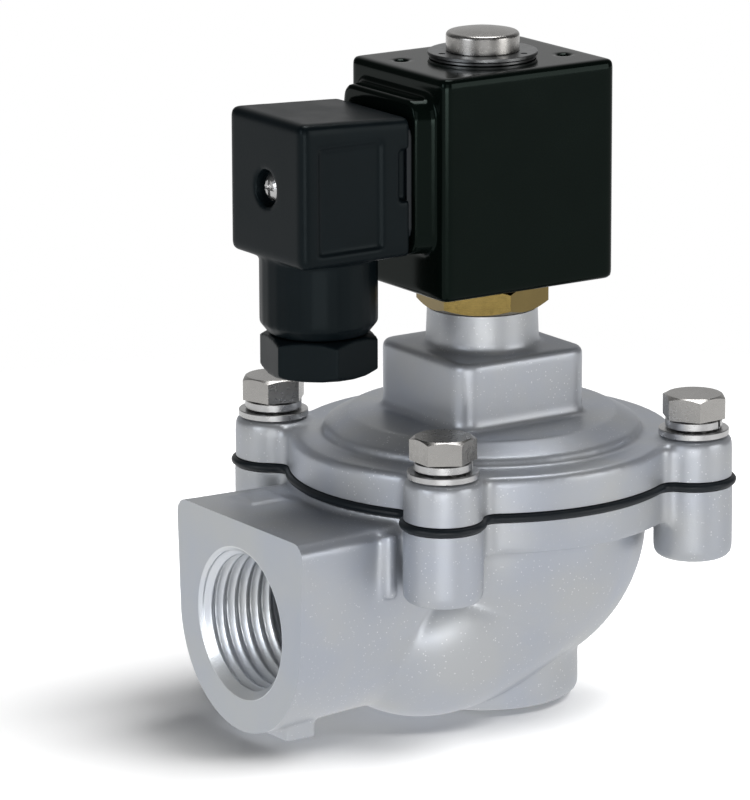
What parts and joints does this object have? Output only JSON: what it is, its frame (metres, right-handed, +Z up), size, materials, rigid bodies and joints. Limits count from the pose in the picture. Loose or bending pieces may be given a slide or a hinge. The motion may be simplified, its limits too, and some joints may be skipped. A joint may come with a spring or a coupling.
{
  "type": "dust collector pulse valve",
  "caption": "Right-angle diaphragm pulse valve: cast body with threaded side inlet and bottom outlet, bolted stepped cover, and a coil-operated pilot with plug connector on top.",
  "frame": {"origin": "centre of the outlet port in the plane of the outlet face", "axes": "+Z up along the outlet and pilot axis, the inlet port looks along -X, the pilot vent looks along +Y"},
  "size_m": [0.1112, 0.0904, 0.1551],
  "materials": {
    "cast_aluminium": "sand-textured die casting with bright specks, machined inlet face",
    "cast_aluminium_cover": "sand-textured die casting with bright specks",
    "black_rubber": "matt",
    "stainless": "satin stainless",
    "zinc_plate": "bright zinc plate",
    "brass": "turned",
    "coil_black": "glossy moulded",
    "plug_black": "fine moulded texture"
  },
  "bodies": {
    "valve": {"valve_body": "cast_aluminium", "cover": "cast_aluminium_cover", "main_diaphragm": "black_rubber", "main_spring": "stainless", "cover_bolt_front": "stainless", "cover_bolt_right": "stainless", "cover_bolt_back": "stainless", "cover_bolt_left": "stainless", "split_washer_front": "stainless", "split_washer_right": "stainless", "split_washer_back": "stainless", "split_washer_left": "stainless", "flat_washer_front": "stainless", "flat_washer_right": "stainless", "flat_washer_back": "stainless", "flat_washer_left": "stainless", "tube_base": "brass", "tube_base_o_ring": "black_rubber", "pilot_tube": "stainless", "fixed_core": "stainless", "plunger_spring": "stainless", "clip_washer": "stainless", "coil_clip": "stainless"},
    "diaphragm_core": {"diaphragm_upper_plate": "zinc_plate", "diaphragm_lower_plate": "zinc_plate", "diaphragm_rivet": "stainless"},
    "plunger": {"plunger": "stainless", "plunger_seal": "black_rubber"},
    "coil": {"coil": "coil_black", "terminal_blade_1": "zinc_plate", "terminal_blade_2": "zinc_plate", "earth_blade": "zinc_plate", "connector_gasket": "black_rubber", "connector_shell": "plug_black", "connector_insert": "plug_black", "connector_screw": "zinc_plate", "gland_nut": "plug_black", "gland_ring": "zinc_plate", "gland_seal": "black_rubber"}
  },
  "joints": [
    {"name": "diaphragm_lift", "type": "slide", "parent": "valve", "child": "diaphragm_core", "axis": [0, 0, 1], "range_m": [0, 0.0055], "stiffness_N_per_m": 1500, "springref_m": -0.01, "deforming": ["main_spring", "main_diaphragm"]},
    {"name": "plunger_lift", "type": "slide", "parent": "valve", "child": "plunger", "axis": [0, 0, 1], "range_m": [0, 0.0016], "stiffness_N_per_m": 400, "springref_m": -0.008, "deforming": ["plunger_spring"]},
    {"name": "coil_turn", "type": "hinge", "parent": "valve", "child": "coil", "pos_m": [0, 0, 0.12], "axis": [0, 0, 1], "continuous": true}
  ]
}
